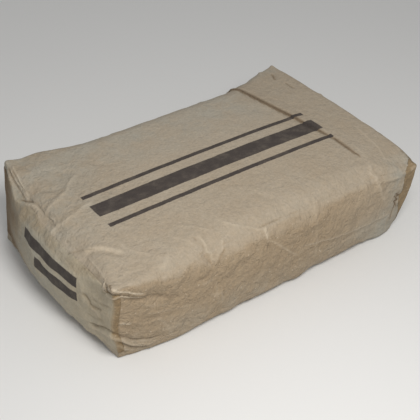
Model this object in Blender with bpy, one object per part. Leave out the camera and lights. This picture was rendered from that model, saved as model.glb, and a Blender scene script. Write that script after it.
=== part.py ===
# A pasted block-bottom paper sack of dry mix, lying flat on its wide face.
# The sack, the mix inside it and the cover sheet pasted on each end are separate solids.
# Metres, +Z up. The origin is under the middle of the sack, on the surface it lies on.
# +X runs along the length of the sack, and -Y is its near long side.

import bmesh
import bpy
import numpy as np

# Size of the sack between its creases, before the fill swells it
CREASE_LENGTH = 0.572
CREASE_WIDTH = 0.360
BODY_HEIGHT = 0.149

# The paper and what keeps the layers apart
PAPER_WALL = 0.0005
SHEET_WALL = 0.0003
CLEARANCE = 0.0003

# How far the fill swells each face in its middle
LEFT_END_SWELL = 0.042
RIGHT_END_SWELL = 0.000
NEAR_SIDE_SWELL = 0.006
FAR_SIDE_SWELL = 0.001
TOP_CROWN = 0.006

# Roundings in the middle of the edges, and where they tighten into the corners
NEAR_TOP_RADIUS = 0.046
FAR_TOP_RADIUS = 0.049
LEFT_TOP_RADIUS = 0.036
RIGHT_TOP_RADIUS = 0.017
BASE_RADIUS = 0.018
CREASE_RADIUS = 0.003
CORNER_RADIUS = 0.004
RADIUS_FADE_FROM = 0.45

# Each corner's shift away from the plain block: out along X, out along Y and up
# The keys are the signs of X, Y and Z
CORNER_SHIFTS = {
    (-1, 1, 1): (0.001, -0.011, 0.003),
    (-1, -1, 1): (0.019, -0.001, 0.000),
    (1, 1, 1): (-0.017, 0.007, -0.003),
    (1, -1, 1): (-0.011, 0.005, -0.016),
    (-1, -1, -1): (0.004, -0.017, 0.000),
    (-1, 1, -1): (0.014, -0.007, 0.000),
    (1, -1, -1): (-0.031, -0.015, 0.000),
    (1, 1, -1): (0.002, 0.003, 0.000),
}
CORNER_SPREAD = 0.060

# Brings the middle of the finished sack over the origin
CENTRE_X = 0.0214
CENTRE_Y = 0.0001

# The cover sheet on an end face, in steps of the mesh
# It stays one step, about 17 mm, off the floor and the top, and wraps 12 mm onto each long side
SHEET_BARE_STEPS = 1
SHEET_WRAP_STEPS = 1

# The gap between the folded flaps of an end, hidden behind its cover sheet
SLOT_SIZE = (0.060, 0.200, 0.002)

# Steps of the mesh along each axis: in the middle and over each rounded edge
MIDDLE_STEPS = (8, 6, 2)
EDGE_STEPS = 4

AXIS_HALVES = (CREASE_LENGTH / 2, CREASE_WIDTH / 2, BODY_HEIGHT / 2)
AXIS_RADII = (LEFT_TOP_RADIUS, NEAR_TOP_RADIUS, NEAR_TOP_RADIUS)


def clear_scene():
    for obj in list(bpy.data.objects):
        bpy.data.objects.remove(obj, do_unlink=True)


def new_material(name, colour, roughness):
    material = bpy.data.materials.new(name)
    material.use_nodes = True
    shader = material.node_tree.nodes["Principled BSDF"]
    shader.inputs["Base Color"].default_value = (*colour, 1)
    shader.inputs["Roughness"].default_value = roughness
    shader.inputs["Metallic"].default_value = 0
    return material


def link_mesh(name, mesh, material):
    obj = bpy.data.objects.new(name, mesh)
    bpy.context.scene.collection.objects.link(obj)
    mesh.materials.append(material)
    mesh.shade_smooth()
    mesh.set_sharp_from_angle(angle=np.radians(40))
    return obj


def smooth_step(start, end, value):
    """Goes from 0 at start to 1 at end, level at both."""
    t = np.clip((value - start) / (end - start), 0, 1)
    return t * t * (3 - 2 * t)


def round_edge(u, v, half_u, half_v, radius):
    """Pulls the points beside a square edge onto an arc of this radius."""
    over_u = np.maximum(np.abs(u) - (half_u - radius), 0)
    over_v = np.maximum(np.abs(v) - (half_v - radius), 0)
    reach = np.hypot(over_u, over_v)
    pull = np.where(reach > 0, np.maximum(over_u, over_v) / np.where(reach > 0, reach, 1), 1)
    return u - np.sign(u) * over_u * (1 - pull), v - np.sign(v) * over_v * (1 - pull)


def sack_surface(a, b, c, inset):
    """The sack's surface, moved inwards by inset, at points a, b, c of the cube from -1 to 1."""
    half = np.array(AXIS_HALVES) - inset
    x, y, z = a * half[0], b * half[1], c * half[2]

    # The roundings are full in the middle of each edge and tighten towards the corners
    along = smooth_step(RADIUS_FADE_FROM, 1, np.abs(a))
    across = smooth_step(RADIUS_FADE_FROM, 1, np.abs(b))
    long_radius = np.where(b < 0, NEAR_TOP_RADIUS, FAR_TOP_RADIUS)
    long_radius = np.where(c > 0, long_radius, BASE_RADIUS)
    end_radius = np.where(a < 0, LEFT_TOP_RADIUS, RIGHT_TOP_RADIUS)
    end_radius = np.where(c > 0, end_radius, BASE_RADIUS)
    long_radius = long_radius + (CORNER_RADIUS - long_radius) * along - inset
    end_radius = end_radius + (CORNER_RADIUS - end_radius) * across - inset
    y, z = round_edge(y, z, half[1], half[2], long_radius)
    x, z = round_edge(x, z, half[0], half[2], end_radius)
    x, y = round_edge(x, y, half[0], half[1], CREASE_RADIUS - inset)

    # The fill swells the faces between the creases
    end_swell = np.where(a < 0, LEFT_END_SWELL, RIGHT_END_SWELL)
    side_swell = np.where(b < 0, NEAR_SIDE_SWELL, FAR_SIDE_SWELL)
    x = x + a * end_swell * (1 - b**2) * (1 - 0.5 * c**2)
    y = y + b * side_swell * (1 - a**4) * (1 - 0.3 * c**2)
    z = z + (c + 1) / 2 * TOP_CROWN * (1 - a**2) * (1 - b**2)

    # The corners are drawn out or pushed in
    for signs, shift in CORNER_SHIFTS.items():
        away = sum(
            (1 - sign * value) * size
            for sign, value, size in zip(signs, (a, b, c), AXIS_HALVES)
        )
        share = np.exp(-away / CORNER_SPREAD)
        x = x + signs[0] * shift[0] * share
        y = y + signs[1] * shift[1] * share
        z = z + shift[2] * share * (c + 1) / 2
    return np.stack([x + CENTRE_X, y + CENTRE_Y, z + AXIS_HALVES[2]], axis=-1)


def axis_stops(axis):
    """The places of the mesh lines along an axis, from -1 to 1, dense over the rounded edges."""
    flat = 1 - AXIS_RADII[axis] / AXIS_HALVES[axis]
    turns = np.linspace(0, np.pi / 4, EDGE_STEPS + 1)
    edge = flat + (1 - flat) * np.tan(turns)
    middle = np.linspace(-flat, flat, MIDDLE_STEPS[axis] + 1)
    return np.concatenate([-edge[:0:-1], middle, edge[1:]])


def keep_all(centre):
    return True


def sack_shell(inset, keep=keep_all):
    """A surface of the sack: a grid on each face of a cube, bent to shape, with the faces to keep.

    Every layer is made this way, so that the triangles of one run parallel to the next one's.
    """
    shell = bmesh.new()
    for axis in range(3):
        across, up = (axis + 1) % 3, (axis + 2) % 3
        for side in (-1, 1):
            grid = []
            for row in axis_stops(up):
                line = []
                for column in axis_stops(across):
                    place = [0, 0, 0]
                    place[axis] = side
                    place[across] = side * column
                    place[up] = row
                    line.append(shell.verts.new(place))
                grid.append(line)
            for lower, upper in zip(grid, grid[1:]):
                for corners in zip(lower, lower[1:], upper[1:], upper):
                    shell.faces.new(corners)
    bmesh.ops.remove_doubles(shell, verts=shell.verts, dist=1e-6)
    bmesh.ops.triangulate(shell, faces=shell.faces, quad_method="FIXED")
    bare = [face for face in shell.faces if not keep(face.calc_center_median())]
    bmesh.ops.delete(shell, geom=bare, context="FACES")
    for vert in shell.verts:
        vert.co = sack_surface(*vert.co, inset)
    return shell


def join_into_mesh(name, shells):
    joined = bpy.data.meshes.new(name)
    whole = bmesh.new()
    for shell in shells:
        part = bpy.data.meshes.new(name + "_part")
        shell.to_mesh(part)
        shell.free()
        whole.from_mesh(part)
        bpy.data.meshes.remove(part)
    whole.to_mesh(joined)
    whole.free()
    return joined


def cutter_box(name, size, location):
    mesh = bpy.data.meshes.new(name)
    box = bmesh.new()
    bmesh.ops.create_cube(box, size=1)
    bmesh.ops.scale(box, vec=size, verts=box.verts)
    box.to_mesh(mesh)
    box.free()
    obj = bpy.data.objects.new(name, mesh)
    bpy.context.scene.collection.objects.link(obj)
    obj.location = location
    obj.hide_render = True
    obj.display_type = "WIRE"
    return obj


def make_paper_sack(material):
    """The plies of the sack as one thin wall, with a slot between the end flaps."""
    inside = sack_shell(PAPER_WALL)
    bmesh.ops.reverse_faces(inside, faces=inside.faces)
    mesh = join_into_mesh("paper_sack", [sack_shell(0), inside])
    sack = link_mesh("paper_sack", mesh, material)
    for name, side in (("slot_left", -1), ("slot_right", 1)):
        wall_x = sack_surface(side, 0, 0, 0)[0]
        slot = cutter_box(name, SLOT_SIZE, (wall_x, CENTRE_Y, AXIS_HALVES[2]))
        cut = sack.modifiers.new(name, "BOOLEAN")
        cut.operation = "DIFFERENCE"
        cut.solver = "EXACT"
        cut.object = slot


def make_dry_mix(material):
    """The fill, which takes the shape of the sack's inside."""
    mesh = join_into_mesh("dry_mix", [sack_shell(PAPER_WALL + CLEARANCE)])
    link_mesh("dry_mix", mesh, material)


def make_end_sheet(name, side, material):
    """The cover sheet pasted over the folded flaps of an end and round its two upright creases."""
    wrap_edge = axis_stops(0)[-1 - SHEET_WRAP_STEPS]
    height_edge = axis_stops(2)[-1 - SHEET_BARE_STEPS]

    def keep(centre):
        return side * centre.x > wrap_edge and abs(centre.z) < height_edge

    mesh = join_into_mesh(name, [sack_shell(-CLEARANCE, keep)])
    obj = link_mesh(name, mesh, material)
    wall = obj.modifiers.new("wall", "SOLIDIFY")
    wall.thickness = SHEET_WALL
    wall.offset = 1
    wall.use_even_offset = True


def main():
    clear_scene()
    kraft_paper = new_material("kraft_paper", (0.36, 0.29, 0.21), 0.85)
    cover_paper = new_material("cover_paper", (0.27, 0.20, 0.12), 0.85)
    grey_mix = new_material("grey_mix", (0.36, 0.35, 0.33), 0.95)
    make_paper_sack(kraft_paper)
    make_dry_mix(grey_mix)
    make_end_sheet("end_sheet_left", -1, cover_paper)
    make_end_sheet("end_sheet_right", 1, cover_paper)


main()
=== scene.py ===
import bpy
import numpy as np
from mathutils import Matrix, Vector


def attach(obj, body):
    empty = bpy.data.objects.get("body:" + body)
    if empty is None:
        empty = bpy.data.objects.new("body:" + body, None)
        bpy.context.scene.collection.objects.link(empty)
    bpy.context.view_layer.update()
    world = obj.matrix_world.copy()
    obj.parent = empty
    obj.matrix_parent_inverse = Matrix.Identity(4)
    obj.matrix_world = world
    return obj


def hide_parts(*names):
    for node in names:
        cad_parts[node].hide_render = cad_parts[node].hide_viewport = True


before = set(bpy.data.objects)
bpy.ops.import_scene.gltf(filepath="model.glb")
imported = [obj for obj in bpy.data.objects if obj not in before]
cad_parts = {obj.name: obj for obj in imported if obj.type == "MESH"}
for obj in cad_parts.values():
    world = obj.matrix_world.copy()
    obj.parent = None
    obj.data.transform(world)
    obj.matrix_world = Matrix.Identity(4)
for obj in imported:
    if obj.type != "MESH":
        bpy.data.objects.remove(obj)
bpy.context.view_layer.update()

tiny = 1e-9     # lengths and shares below this count as none

# The sack is a block whose points are named by shares a, b, c of its half length, half width
# and half height, from -1 to 1: a = -1 is the swollen left end, b = -1 the near side, c = 1 the top
sackShape = {
    "creaseLength": 0.572,          # between the upright creases of the two ends
    "creaseWidth": 0.360,
    "bodyHeight": 0.149,
    "endSwell": (0.042, 0.000),     # left end, right end
    "sideSwell": (0.006, 0.001),    # near side, far side
    "swellLoss": (0.5, 0.3),        # share of it lost at the top and foot of the ends, and of the sides
    "topCrown": 0.006,
    "topRadius": (0.046, 0.049),    # near and far long edges of the top
    "endRadius": (0.036, 0.017),    # top edges of the left and right ends
    "baseRadius": 0.018,
    "creaseRadius": 0.003,
    "cornerRadius": 0.004,
    "radiusFade": 0.45,             # the roundings tighten from here out to the corners
    "cornerSpread": 0.060,
    "centre": (0.0214, 0.0001),
    # signs of x, y, z at a corner, then how far it is drawn out along x and y, and up
    "corners": [
        ((-1, 1, 1), (0.001, -0.011, 0.003)),
        ((-1, -1, 1), (0.019, -0.001, 0.000)),
        ((1, 1, 1), (-0.017, 0.007, -0.003)),
        ((1, -1, 1), (-0.011, 0.005, -0.016)),
        ((-1, -1, -1), (0.004, -0.017, 0.000)),
        ((-1, 1, -1), (0.014, -0.007, 0.000)),
        ((1, -1, -1), (-0.031, -0.015, 0.000)),
        ((1, 1, -1), (0.002, 0.003, 0.000)),
    ],
    # places of the cube, how far they are pushed along x, y and z, and how wide along x, y and z
    "pushes": [
        ((-1, -1, -0.05), (-0.0095, 0.0065, 0), (0.03, 0.03, 0.045)),
        ((-1, -0.76, -1), (0.0018, 0, 0), (0.05, 0.034, 0.05)),
        ((-1, -0.2, -1), (0.0032, 0, 0), (0.05, 0.05, 0.05)),
        ((-1, -0.92, 0.93), (-0.0045, 0, 0.001), (0.008, 0.008, 0.009)),
        ((-1, 1, 1), (-0.001, 0.002, 0.0015), (0.008, 0.008, 0.012)),
        ((-0.91, 1, 1), (0, 0, -0.0035), (0.018, 0.03, 0.03)),
        ((-1, -1, 1), (-0.002, -0.001, 0.002), (0.007, 0.007, 0.01)),
        ((-1, -1, -1), (-0.0015, -0.0015, 0), (0.008, 0.008, 0.01)),
        ((1, 1, 1), (0.001, 0.002, 0.0025), (0.009, 0.009, 0.012)),
        ((0.88, -1, 0.95), (0, 0.001, -0.0095), (0.036, 0.034, 0.042)),
        ((1, -1, 1), (0.001, -0.001, 0.005), (0.01, 0.01, 0.014)),
        ((1, -1, 0.1), (-0.0042, 0, 0), (0.034, 0.034, 0.085)),
        ((-0.15, -1, -1), (0, 0.0033, 0), (0.08, 0.04, 0.045)),
        ((1, -1, -0.35), (-0.003, 0, 0), (0.03, 0.03, 0.03)),
    ],
}

# Mesh steps along the length, width and height, and how much denser they are at the edges
sackMesh = {"steps": (210, 130, 60), "crowding": (0.35, 0.35, 0.20)}


# Half the length, width and height between the creases
def halfSizes():
    return np.array([sackShape["creaseLength"], sackShape["creaseWidth"], sackShape["bodyHeight"]]) / 2


# 3 t^2 - 2 t^3 for the share t of the way from start to end, which may lie below start
def smoothStep(start, end, value):
    t = np.clip((value - start) / (end - start), 0, 1)
    return t * t * (3 - 2 * t)


# A point within the radius of a square edge, on either side of it, is pulled towards the
# centre line of the rounding until it lies on the arc
def roundEdge(u, v, halfU, halfV, radius):
    overU = np.maximum(np.abs(u) - (halfU - radius), 0)
    overV = np.maximum(np.abs(v) - (halfV - radius), 0)
    reach = np.maximum(np.hypot(overU, overV), tiny)
    pull = np.where(reach > tiny, np.maximum(overU, overV) / reach, 1)
    return u - np.sign(u) * overU * (1 - pull), v - np.sign(v) * overV * (1 - pull)


# The plain filled sack: a block with its edges rounded, its faces swollen by parabolas and
# its corners drawn out by amounts that fall off exponentially with the way along the edges,
# then small pushes that fall off as bells
def sackSurface(cube):
    s = sackShape
    half = halfSizes()
    a, b, c = cube.T
    x, y, z = a * half[0], b * half[1], c * half[2]
    along = smoothStep(s["radiusFade"], 1, np.abs(a))
    across = smoothStep(s["radiusFade"], 1, np.abs(b))
    longRadius = np.where(c > 0, np.where(b < 0, *s["topRadius"]), s["baseRadius"])
    endRadius = np.where(c > 0, np.where(a < 0, *s["endRadius"]), s["baseRadius"])
    longRadius = longRadius + (s["cornerRadius"] - longRadius) * along
    endRadius = endRadius + (s["cornerRadius"] - endRadius) * across
    y, z = roundEdge(y, z, half[1], half[2], longRadius)
    x, z = roundEdge(x, z, half[0], half[2], endRadius)
    x, y = roundEdge(x, y, half[0], half[1], s["creaseRadius"])
    x = x + a * np.where(a < 0, *s["endSwell"]) * (1 - b**2) * (1 - s["swellLoss"][0] * c**2)
    y = y + b * np.where(b < 0, *s["sideSwell"]) * (1 - a**4) * (1 - s["swellLoss"][1] * c**2)
    z = z + (c + 1) / 2 * s["topCrown"] * (1 - a**2) * (1 - b**2)
    for signs, shift in s["corners"]:
        away = ((1 - np.array(signs) * cube) * half).sum(1)
        share = np.exp(-away / s["cornerSpread"])
        x = x + signs[0] * shift[0] * share
        y = y + signs[1] * shift[1] * share
        z = z + shift[2] * share * (c + 1) / 2
    points = np.stack([x + s["centre"][0], y + s["centre"][1], z + half[2]], 1)
    for place, push, width in s["pushes"]:
        away = (((cube - place) * half / width) ** 2).sum(1)
        points = points + np.exp(-away)[:, None] * push
    return points


# Even steps t from -1 to 1 are moved to t + k sin(pi t) / pi, which crowds them at the ends
def crowdedStops(steps, crowding):
    t = np.linspace(-1, 1, steps + 1)
    return t + crowding * np.sin(np.pi * t) / np.pi


# Each face of the cube is a grid, and points with the same three step numbers become one
def cubeGrid(steps, crowding):
    stops = [crowdedStops(n, k) for n, k in zip(steps, crowding)]
    places, quads, start = [], [], 0
    for axis in range(3):
        across, up = (axis + 1) % 3, (axis + 2) % 3
        for side in (0, steps[axis]):
            column, row = np.meshgrid(np.arange(steps[across] + 1), np.arange(steps[up] + 1))
            if side == 0:
                column = column[:, ::-1]
            place = np.zeros(column.shape + (3,), int)
            place[..., axis], place[..., across], place[..., up] = side, column, row
            number = start + np.arange(column.size).reshape(column.shape)
            ring = (number[:-1, :-1], number[:-1, 1:], number[1:, 1:], number[1:, :-1])
            quads.append(np.stack(ring, -1).reshape(-1, 4))
            places.append(place.reshape(-1, 3))
            start += column.size
    whole, index = np.unique(np.concatenate(places), axis=0, return_inverse=True)
    cube = np.stack([stops[axis][whole[:, axis]] for axis in range(3)], 1)
    return cube, index.reshape(-1)[np.concatenate(quads)]


# The normal of a point is the sum of the cross products of the quads around it
def pointNormals(points, quads):
    corners = points[quads]
    cross = np.cross(corners[:, 2] - corners[:, 0], corners[:, 3] - corners[:, 1])
    normals = np.zeros_like(points)
    for corner in range(4):
        for axis in range(3):
            normals[:, axis] += np.bincount(quads[:, corner], cross[:, axis], len(points))
    return normals / np.maximum(np.linalg.norm(normals, axis=1), tiny)[:, None]


# Random values from -1 to 1 on a lattice of this grain, blended by smooth steps between its corners
# The lattice starts 1 m below the origin, and repeats after so many cells
def smoothNoise(points, grain, seed, cells=64):
    cell = (points + 1.0) / grain
    base = np.floor(cell).astype(int)
    share = smoothStep(0, 1, cell - base)
    low = base.min(0)
    lattice = np.random.default_rng(seed).uniform(-1, 1, (cells, cells, cells))
    total = np.zeros(len(points))
    for corner in np.ndindex(2, 2, 2):
        at = (base - low + corner) % cells
        weight = np.prod(np.where(corner, share, 1 - share), axis=1)
        total += weight * lattice[at[:, 0], at[:, 1], at[:, 2]]
    return total


# A line through the given points of the cube, eased between them by Catmull and Rom's cubic,
# pushed out to the cube's skin and then laid on the sack
def foldLine(through, runs=6):
    p = np.array(through, float)
    p = np.concatenate([2 * p[:1] - p[1:2], p, 2 * p[-1:] - p[-2:-1]])
    t = np.linspace(0, 1, runs, endpoint=False)[:, None]
    pieces = []
    for k in range(1, len(p) - 2):
        pieces.append(0.5 * (2 * p[k] + (p[k + 1] - p[k - 1]) * t
                             + (2 * p[k - 1] - 5 * p[k] + 4 * p[k + 1] - p[k + 2]) * t**2
                             + (3 * p[k] - p[k - 1] - 3 * p[k + 1] + p[k + 2]) * t**3))
    line = np.concatenate(pieces + [p[-2:-1]])
    return sackSurface(line / np.abs(line).max(1)[:, None])


# The nearest place on a line of straight runs: how far off it is, below 0 on its right hand side
# seen from outside the sack, its share of the way along, and the way to it
def placeOnLine(points, normals, line):
    run = np.diff(line, axis=0)
    length = np.maximum(np.linalg.norm(run, axis=1), tiny)
    share = np.clip(((points[:, None] - line[:-1]) * run).sum(2) / length**2, 0, 1)
    offset = points[:, None] - line[:-1] - share[..., None] * run
    nearest = np.linalg.norm(offset, axis=2).argmin(1)
    row = np.arange(len(points))
    offset = offset[row, nearest]
    side = np.sign((np.cross(run[nearest], offset) * normals).sum(1))
    travelled = np.concatenate([[0], np.cumsum(length)])
    along = (travelled[nearest] + share[row, nearest] * length[nearest]) / travelled[-1]
    return np.linalg.norm(offset, axis=1) * np.where(side < 0, -1, 1), along, -offset


foldProfiles = {
    "crestFall": 1.4,               # how steeply a crest falls, and how round its tip is
    "crestTip": 0.2,
    "pleatGain": 1.65,              # brings a pleat to a height of 1
    "lapStep": 0.6,                 # half the width of a lap's step, and how long its way down is
    "lapTail": 5,
}


# Heights across a fold, t widths from its line:
# a ridge is the bell exp(-t^2), a crest falls from its tip as exp(-fall |t|), a pleat is the bell's
# slope, up on the right and down on the left, and a lap a step up on the left with a long way down
def acrossFold(profile, t):
    p = foldProfiles
    if profile == "ridge":
        return np.exp(-t**2)
    if profile == "crest":
        return np.exp(-p["crestFall"] * (np.hypot(t, p["crestTip"]) - p["crestTip"]))
    if profile == "pleat":
        return -p["pleatGain"] * t * np.exp(-t**2 / 2)
    return smoothStep(-p["lapStep"], p["lapStep"], t) * np.exp(-np.maximum(t, 0) / p["lapTail"])


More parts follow.
